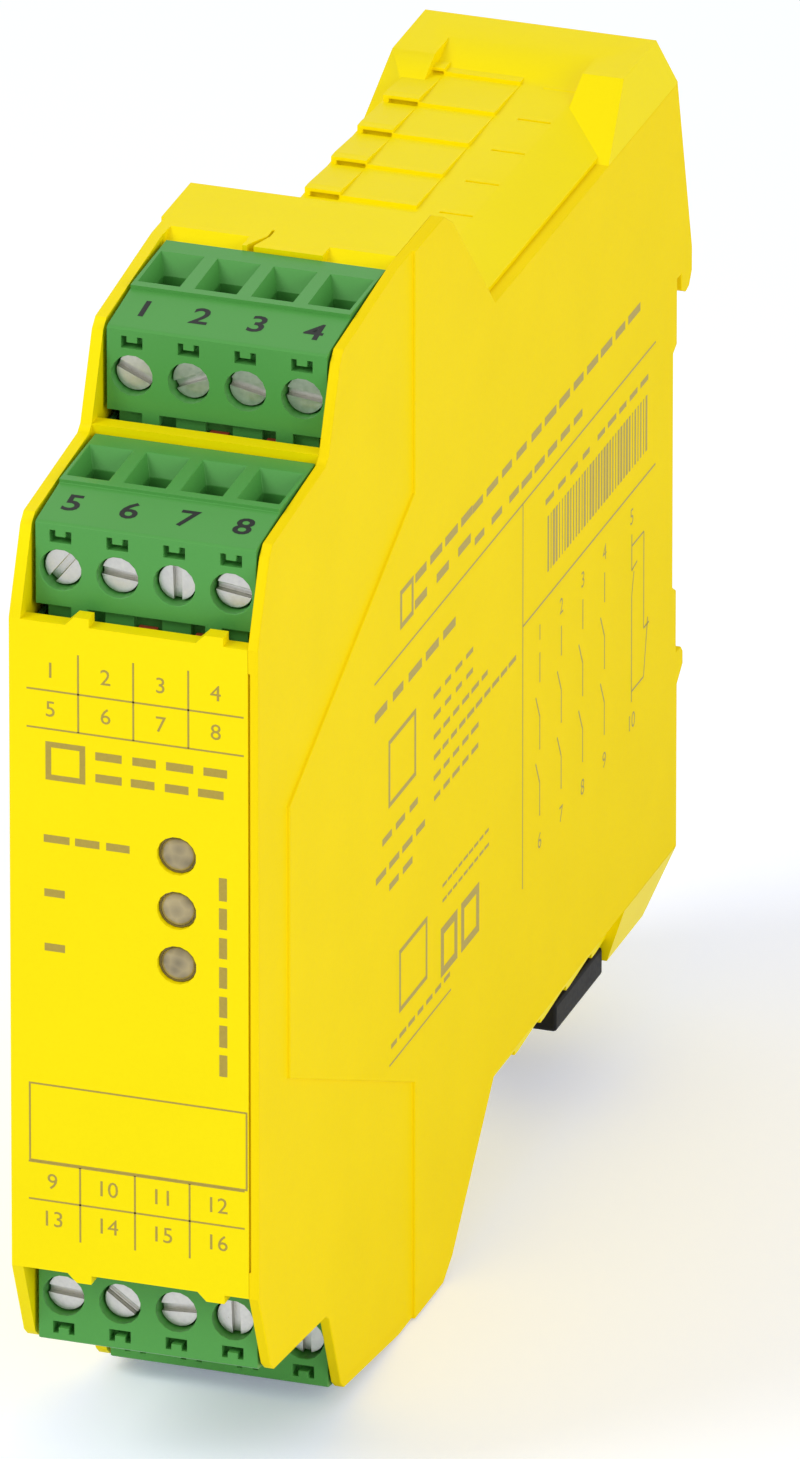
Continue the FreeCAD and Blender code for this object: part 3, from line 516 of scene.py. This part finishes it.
# ---------------------------------------------------------------- settings
class RelayColours(bpy.types.PropertyGroup):
    """Colours of the finishes."""

    housing: bpy.props.FloatVectorProperty(
        name="Housing", description="Colour of the moulded housing", subtype="COLOR", size=4,
        default=(0.98, 0.79, 0.0, 1.0))
    # The side cover's colour is the housing yellow darkened: painted shade for the right side.
    cover: bpy.props.FloatVectorProperty(
        name="Side cover", description="Colour of the right side cover", subtype="COLOR", size=4,
        default=(0.95, 0.715, 0.004, 1.0))
    plug: bpy.props.FloatVectorProperty(
        name="Terminal plugs", description="Colour of the terminal plugs", subtype="COLOR", size=4,
        default=(0.085, 0.335, 0.068, 1.0))
    ink: bpy.props.FloatVectorProperty(
        name="Print", description="Colour of the printed lines", subtype="COLOR", size=4,
        default=(0.42, 0.31, 0.045, 1.0))
    screw: bpy.props.FloatVectorProperty(
        name="Screws", description="Colour of the plated screws", subtype="COLOR", size=4,
        default=(0.62, 0.61, 0.56, 1.0))
    number: bpy.props.FloatVectorProperty(
        name="Terminal numbers", description="Colour of the numbers on the plugs", subtype="COLOR", size=4,
        default=(0.008, 0.011, 0.009, 1.0))


class RelaySizes(bpy.types.PropertyGroup):
    """Sizes of what is added to the frame; lengths without a unit are millimetres."""

    edge: bpy.props.FloatProperty(
        name="Edge radius", description="Rounding of the moulded edges, in millimetres", default=0.25,
        min=0.02, max=0.6)
    line: bpy.props.FloatProperty(
        name="Print line", description="Width of the printed lines, in millimetres", default=0.16,
        min=0.05, max=0.5)
    screw_head: bpy.props.FloatProperty(
        name="Screw head", description="Radius of a screw's head, in millimetres", default=1.65, min=1.0,
        max=1.8)
    screw_slot: bpy.props.FloatProperty(
        name="Screw slot", description="Width of a screw's slot, in millimetres", default=0.7, min=0.2,
        max=1.0)
    lens: bpy.props.FloatProperty(
        name="Lamp lens", description="Radius of a lamp's dome, in millimetres", default=1.5, min=0.5,
        max=1.6)
    distance: bpy.props.FloatProperty(
        name="Camera distance", description="Distance of the camera from the part", default=3.0, min=0.5,
        max=10.0, unit="LENGTH")
    focal: bpy.props.FloatProperty(
        name="Focal length", description="Focal length of the camera, in millimetres", default=873.4,
        min=50.0, max=4000.0)
    azimuth: bpy.props.FloatProperty(
        name="Azimuth", description="Turn of the camera about the part", default=math.radians(18.66),
        subtype="ANGLE")
    elevation: bpy.props.FloatProperty(
        name="Elevation", description="Height of the camera over the part", default=math.radians(24.49),
        subtype="ANGLE")


def colours():
    return bpy.context.scene.relay_colours


def sizes():
    return bpy.context.scene.relay_sizes


# ---------------------------------------------------------------- pieces
class RELAY_OT_housing(bpy.types.Operator):
    """Dress the housing shell and the side cover"""

    bl_idname = "relay.housing"
    bl_label = "Housing"

    def execute(self, context):
        shell = moulded("Housing yellow", colours().housing, grain=0.35, depth=0.004, gloss=0.09)
        # The cover's darker yellow is painted shade of the right side, not a different plastic.
        cover = moulded("Cover yellow painted shade", colours().cover, grain=0.3, depth=0.012, rough=0.55, mottle=0.05,
                        gloss=0.025)
        softened("housing_shell", BOARD_BODY, shell, sizes().edge)
        softened("side_cover", BOARD_BODY, cover, sizes().edge)
        return {"FINISHED"}


class RELAY_OT_catch(bpy.types.Operator):
    """Dress the rail catch and its spring"""

    bl_idname = "relay.catch"
    bl_label = "Rail catch"

    def execute(self, context):
        black = moulded("Catch black", (0.012, 0.012, 0.013, 1.0), grain=0.4, depth=0.006, rough=0.5,
                        gloss=0.1)
        softened("rail_catch", "catch", black, 0.3)
        steel = plated_steel("Spring steel", (0.6, 0.6, 0.58, 1.0), 0.35)
        spring = softened("catch_spring", BOARD_BODY, steel, 0.04)
        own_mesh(spring)
        return {"FINISHED"}


class RELAY_OT_plugs(bpy.types.Operator):
    """Dress the four terminal plugs and their contacts"""

    bl_idname = "relay.plugs"
    bl_label = "Terminal plugs"

    def execute(self, context):
        green = moulded("Plug green", colours().plug, grain=0.25, depth=0.004, rough=0.4, mottle=0.06,
                        gloss=0.22)
        tin = plated_steel("Tinned contact", (0.74, 0.7, 0.6, 1.0), 0.3)
        for key in PLUGS:
            softened("plug_" + key, "plug_" + key, green, 0.12)
            paint("contacts_" + key, tin)
        return {"FINISHED"}


class RELAY_OT_screws(bpy.types.Operator):
    """Make the sixteen slotted clamp screws and finish the lifting cages"""

    bl_idname = "relay.screws"
    bl_label = "Clamp screws"

    def execute(self, context):
        bright = plated_steel("Screw plating", colours().screw, 0.3)
        cage = plated_steel("Cage plating", (0.62, 0.62, 0.6, 1.0), 0.4)
        rule = screw_rule()
        for key in PLUGS:
            for index, turn in enumerate(SLOT_TURNS[key], start=1):
                self.screw(rule, bright, f"screw_{key}_{index}", turn)
                paint(f"cage_{key}_{index}", cage)
        return {"FINISHED"}

    def screw(self, rule, metal, node, turn):
        low, high = (Vector(corner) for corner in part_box(node))
        middle = (low + high) / 2
        item = Rule.bake(
            node + "_dressed", rule, metal, finish=self.finish, Head_radius=sizes().screw_head,
            Head_height=1.2, Slot_width=sizes().screw_slot, Slot_depth=0.6, Slot_turn=math.radians(turn),
            Shank_radius=1.18, Length=(high.y - low.y) / MM)
        placed(item, (middle.x, low.y, middle.z), (1, 0, 0), (0, 0, -1))
        seated(item, node, node)

    @staticmethod
    def finish(item):
        rounded(item, 0.09)


class RELAY_OT_inside(bpy.types.Operator):
    """Finish the boards, headers, relays and small parts inside"""

    bl_idname = "relay.inside"
    bl_label = "Inside"

    def execute(self, context):
        board = laminate("Board green", (0.02, 0.12, 0.05, 1.0))
        header = moulded("Header green", (0.03, 0.12, 0.04, 1.0), grain=0.3, rough=0.45)
        pins = plated_steel("Tinned pin", (0.78, 0.74, 0.62, 1.0), 0.25)
        case = moulded("Relay case", (0.8, 0.77, 0.68, 1.0), grain=0.5, depth=0.002, rough=0.3)
        sleeve = plated_steel("Capacitor can", (0.55, 0.57, 0.6, 1.0), 0.35)
        chip = moulded("Chip black", (0.02, 0.02, 0.022, 1.0), grain=0.2, rough=0.55)
        red = moulded("Coding red", (0.45, 0.06, 0.03, 1.0), grain=0.3, rough=0.4)
        finishes = {board: ("main_board", "upper_terminal_board", "lower_terminal_board"),
                    header: ["header_" + key for key in PLUGS],
                    pins: ("header_pins_front", "header_pins_rear", "board_link_pins"),
                    case: ("relay_k1", "relay_k2"), sleeve: ("capacitors",), chip: ("logic_chips",),
                    red: ("coding_pegs",)}
        for material, nodes in finishes.items():
            for node in nodes:
                paint(node, material)
        return {"FINISHED"}


class RELAY_OT_lamps(bpy.types.Operator):
    """Finish the three status lamps and give them domes, and dark rings of painted shade round the edges of
    their holes
    """

    bl_idname = "relay.lamps"
    bl_label = "Status lamps"

    def execute(self, context):
        smoked = lamp_lens("Smoked lens", (0.3, 0.24, 0.11, 1.0))
        paint("status_leds", smoked)
        # The dark rings round the lamps are painted shade: they stand for the shadowed edges of the lamp
        # holes.
        hole_shade = moulded("Lamp hole painted shade", (0.2, 0.15, 0.03, 1.0), grain=0.3, depth=0.002, rough=0.4)
        rule = lamp_rule()
        low, high = (Vector(corner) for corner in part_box("status_leds"))
        reach = sizes().lens
        top, middle = high.z - LAMP_FLANGE, high.x - LAMP_FLANGE
        pitch = (high.z - low.z - 2 * LAMP_FLANGE) / (2 * MM)
        for name, material, radius, height, sunk, shade_ring in (
                ("lamp_domes", smoked, reach, 0.36, 0.02, False),
                ("lamp_rims", hole_shade, reach + 0.12, 0.11, -0.04, True)):
            item = Rule.bake(name, rule, material, Count=3, Pitch=pitch, Radius=radius, Height=height,
                             Rim=shade_ring)
            smooth_by_angle(item.data, 60)
            placed(item, (middle, low.y - sunk * MM, top), (1, 0, 0), (0, 0, 1))
            seated(item, BOARD_BODY)
        return {"FINISHED"}


class RELAY_OT_numbers(bpy.types.Operator):
    """Print plain terminal numbers on the sloped strips of the plugs"""

    bl_idname = "relay.numbers"
    bl_label = "Terminal numbers"

    def execute(self, context):
        ink = printed_ink("Black ink", colours().number)
        slope = Vector((0, 5.8, 0.8)).normalized()
        strip_drop, strip_depth = 1.0 * MM, 3.2 * MM
        for key, first in zip(PLUGS, (5, 1, 9, 13)):
            low, high = (Vector(corner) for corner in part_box("plug_" + key))
            upper = key.startswith("upper")
            turn = 1 if upper else -1
            level = (high.z if upper else low.z) - turn * strip_drop
            up = Vector((0, slope.y, turn * slope.z))
            across = Vector((turn, 0, 0))
            out = across.cross(up)
            spot = Vector(((low.x + high.x) / 2, low.y + strip_depth, level)) + out * PRINT_LIFT
            sheet = Sheet(f"numbers_{key}", spot, across, up)
            for index in range(4):
                value = first + (index if upper else 3 - index)
                sheet.number(str(value), (index - 1.5) * POLE_PITCH, 0.0, 2.5, 0.06)
            sheet.finish(ink, "plug", "plug_" + key)
        return {"FINISHED"}


class RELAY_OT_label(bpy.types.Operator):
    """Print the plain tables, bars and numbers on the label face"""

    bl_idname = "relay.label"
    bl_label = "Label print"

    def execute(self, context):
        ink = printed_ink("Olive ink", colours().ink)
        face = Vector((0, SHELL_LOW.y - PRINT_LIFT, 0))
        sheet = Sheet("label_print", face, (1, 0, 0), (0, 0, 1))
        width = sizes().line
        self.table(sheet, width, (20.1, 23.6, 27.2), range(1, 9), True)
        self.table(sheet, width, (-26.8, -23.35, -19.9), range(9, 17), False)
        sheet.frame(-9.27, 9.89, -19.75, -12.65, width)
        sheet.frame(-7.5, -4.5, 15.7, 18.7, 0.5)
        for level in (0.08, 5.08):
            sheet.bar(-7.9, -6.1, level - 0.35, level + 0.35)
        for start, end, level, cap in ((-2.2, 7.2, 18.2, 1.5), (-2.2, 6.8, 16.2, 1.5),
                                       (-6.8, -1.4, 10.05, 1.4)):
            sheet.words(start, level, end, level, cap)
        sheet.words(7.85, -8.6, 7.85, 7.6, 1.4)
        sheet.set_words(ink, word_rule(), Pitch=1.9, Thickness=0.5, Shortest=0.7, Longest=0.86, Share=1.0,
                        Seed=4)
        sheet.finish(ink, "housing")
        return {"FINISHED"}

    def table(self, sheet, width, levels, numbers, upper):
        for level in (levels[0], levels[1]) if upper else (levels[1], levels[2]):
            sheet.line(-9.4, level, 9.7, level, width)
        for u in (-4.85, 0.0, 4.84):
            sheet.line(u, levels[0], u, levels[2], width)
        rows = [(levels[1] + levels[2]) / 2, (levels[0] + levels[1]) / 2]
        for index, value in enumerate(numbers):
            sheet.number(str(value), -7.3 + TABLE_PITCH * (index % 4), rows[index // 4], 1.45)


class RELAY_OT_side_print(bpy.types.Operator):
    """Print the rules, bars and contact diagrams on the side cover"""

    bl_idname = "relay.side_print"
    bl_label = "Side print"

    def execute(self, context):
        ink = printed_ink("Side ink", shade(colours().ink, 1.05))
        flank = Vector((SHELL_HIGH.x + PRINT_LIFT, 0, 0))
        sheet = Sheet("side_print", flank, (0, 1, 0), (0, 0, 1))
        rule = word_rule()
        sheet.words(-35.0, 7.6, -8.4, 7.6, 5.2)
        sheet.set_words(ink, rule, Pitch=0.145, Thickness=1.0, Shortest=0.25, Longest=0.8, Share=0.96,
                        Seed=9)
        self.header(sheet)
        for index, column in enumerate((-37.2, -31.4, -25.6, -19.7)):
            self.open_contact(sheet, column, index + 1)
        self.closed_contact(sheet, -12.3)
        self.notes(sheet)
        sheet.set_words(ink, rule, Pitch=2.3, Thickness=0.5, Shortest=0.7, Longest=0.9, Share=1.0, Seed=2)
        sheet.finish(ink, "cover")
        return {"FINISHED"}

    def header(self, sheet):
        width = sizes().line * 1.3
        sheet.line(-81.1, 14.2, -5.9, 14.2, width)
        sheet.line(-41.8, 2.75, -5.9, 2.75, width)
        sheet.line(-41.8, 14.2, -41.8, -21.8, width)
        sheet.frame(-74.1, -71.1, 16.6, 19.7, 0.5)
        for u0, u1, level, cap in ((-68.9, -56.8, 19.4, 1.7), (-68.9, -57.4, 17.0, 1.7),
                                   (-53.9, -42.2, 19.3, 1.5), (-38.2, -11.8, 19.3, 1.6),
                                   (-53.4, -44.2, 16.1, 1.4), (-40.8, -27.0, 16.0, 1.4),
                                   (-34.6, -24.8, 11.7, 1.1), (-20.7, -9.0, 11.8, 1.1)):
            sheet.words(u0, level, u1, level, cap)

    def open_contact(self, sheet, u, value):
        """Two make contacts in series between a pair of numbered terminals."""
        width = sizes().line * 1.3
        sheet.number(str(value), u, 0.2, 1.5)
        sheet.line(u, -1.6, u, -4.4, width)
        for top in (-5.4, -11.6):
            sheet.line(u - 1.1, top, u, top - 2.2, width)
            sheet.line(u, top - 2.2, u, top - 5.3, width)
        sheet.number(str(value + 5), u, -19.3, 1.5)

    def closed_contact(self, sheet, u):
        """Two break contacts side by side between a pair of numbered terminals."""
        width = sizes().line * 1.3
        sheet.number("5", u, 0.4, 1.5)
        sheet.line(u, -1.2, u, -4.6, width)
        sheet.line(u, -4.6, u + 1.5, -4.3, width)
        sheet.line(u + 0.6, -4.9, u, -7.0, width)
        sheet.line(u, -7.0, u, -17.0, width)
        sheet.line(u, -2.3, u + 3.3, -2.3, width)
        sheet.line(u + 3.3, -2.3, u + 3.3, -11.4, width)
        sheet.line(u + 3.3, -11.4, u + 4.8, -11.4, width)
        sheet.line(u + 4.4, -10.8, u + 3.3, -16.0, width)
        sheet.line(u + 3.3, -16.0, u, -16.0, width)
        sheet.number("10", u, -18.9, 1.5)

    def notes(self, sheet):
        """A heading, lines of bars, and plain frames over a rule."""
        sheet.frame(-77.2, -70.4, 1.4, 7.2, 0.45)
        for u0, u1, level, cap in ((-79.4, -61.4, 11.0, 1.7), (-64.6, -56.0, 6.4, 0.95),
                                   (-64.6, -56.0, 4.5, 0.95), (-64.6, -52.0, 2.6, 0.95),
                                   (-64.6, -44.6, 0.7, 0.95), (-64.6, -54.6, -1.2, 0.95),
                                   (-64.6, -54.6, -3.1, 0.95), (-77.8, -70.8, -1.3, 1.3),
                                   (-79.4, -69.0, -4.2, 1.3), (-76.0, -72.4, -6.2, 1.3),
                                   (-62.6, -51.4, -12.2, 0.6), (-62.6, -51.4, -13.6, 0.6),
                                   (-76.0, -62.0, -21.2, 0.9)):
            sheet.words(u0, level, u1, level, cap)
        sheet.frame(-74.4, -67.4, -18.8, -13.4, 0.45)
        sheet.frame(-63.2, -59.6, -20.2, -16.4, 0.8)
        sheet.frame(-57.8, -53.8, -20.2, -16.4, 0.8)
        sheet.line(-77.2, -22.8, -60.9, -22.8, 0.2)


class RELAY_OT_stage(bpy.types.Operator):
    """Set up the pale floor, the soft lights and the camera"""

    bl_idname = "relay.stage"
    bl_label = "Stage"

    def execute(self, context):
        self.floor()
        self.sky()
        self.lamps()
        self.camera()
        context.scene.view_settings.view_transform = "Standard"
        return {"FINISHED"}

    def floor(self):
        mesh = bpy.data.meshes.new("floor")
        level = CAD_BOX[0][2] - FLOOR_GAP
        corners = [(x * FLOOR_REACH, y * FLOOR_REACH, level)
                   for x, y in ((-1, -1), (1, -1), (1, 1), (-1, 1))]
        mesh.from_pydata(corners, [], [(0, 1, 2, 3)])
        item = new_object("floor", mesh)
        material = bpy.data.materials.new("Floor white")
        material.use_nodes = True
        kit = Studio(material.node_tree)
        kit.tree.nodes.remove(kit.tree.nodes["Principled BSDF"])
        matt = kit.add("ShaderNodeBsdfDiffuse", None, {"Color": FLOOR_COLOUR})
        glow = kit.add("ShaderNodeEmission", None, {"Color": GLOW_COLOUR, "Strength": kit.seen() * GLOW})
        both = kit.add("ShaderNodeAddShader", None, {0: matt, 1: glow})
        kit.tree.links.new(both.link, kit.tree.nodes["Material Output"].inputs["Surface"])
        mesh.materials.append(material)

    def sky(self):
        world = bpy.data.worlds.new("Studio white")
        bpy.context.scene.world = world
        world.use_nodes = True
        kit = Studio(world.node_tree)
        back = kit.tree.nodes["Background"]
        back.inputs["Color"].default_value = (1.0, 1.0, 1.0, 1.0)
        strength = kit.seen() * (1.0 - SKY_LIGHT) + SKY_LIGHT
        kit.tree.links.new(strength.link, back.inputs["Strength"])

    def lamps(self):
        self.lamp("key", (-0.6, -0.55, 0.65), 0.5, 3.8)
        self.lamp("fill", (0.9, -0.5, 0.35), 0.7, 3.5)

    def lamp(self, name, place, size, power):
        data = bpy.data.lights.new(name, "AREA")
        data.shape, data.size, data.energy = "DISK", size, power
        item = bpy.data.objects.new(name, data)
        bpy.context.scene.collection.objects.link(item)
        item.location = place
        item.rotation_euler = (-Vector(place)).to_track_quat("-Z", "Y").to_euler()

    def camera(self):
        turn, rise = sizes().azimuth, sizes().elevation
        away = Vector((math.sin(turn) * math.cos(rise), -math.cos(turn) * math.cos(rise), math.sin(rise)))
        data = bpy.data.cameras.new("camera")
        data.lens, data.sensor_width = sizes().focal, 36.0
        data.clip_end = 20.0
        item = bpy.data.objects.new("camera", data)
        bpy.context.scene.collection.objects.link(item)
        item.location = AIM + away * sizes().distance
        item.rotation_euler = away.to_track_quat("Z", "Y").to_euler()
        bpy.context.scene.camera = item


STEPS = (RELAY_OT_housing, RELAY_OT_catch, RELAY_OT_plugs, RELAY_OT_screws, RELAY_OT_inside,
         RELAY_OT_lamps, RELAY_OT_numbers, RELAY_OT_label, RELAY_OT_side_print, RELAY_OT_stage)


class RELAY_PT_panel(bpy.types.Panel):
    """Lists the relay's pieces and settings"""

    bl_idname = "RELAY_PT_panel"
    bl_label = "Safety relay"
    bl_space_type = "VIEW_3D"
    bl_region_type = "UI"
    bl_category = "Relay"

    def draw(self, context):
        for settings in (colours(), sizes()):
            for name in settings.__annotations__:
                self.layout.prop(settings, name)
        for step in STEPS:
            self.layout.operator(step.bl_idname)


CLASSES = (RelayColours, RelaySizes) + STEPS + (RELAY_PT_panel,)


def register():
    for item in CLASSES:
        bpy.utils.register_class(item)
    bpy.types.Scene.relay_colours = bpy.props.PointerProperty(type=RelayColours)
    bpy.types.Scene.relay_sizes = bpy.props.PointerProperty(type=RelaySizes)


def unregister():
    del bpy.types.Scene.relay_sizes
    del bpy.types.Scene.relay_colours
    for item in reversed(CLASSES):
        bpy.utils.unregister_class(item)


def main():
    register()
    for step in STEPS:
        group, name = step.bl_idname.split(".")
        getattr(getattr(bpy.ops, group), name)()


if __name__ == "__main__":
    main()
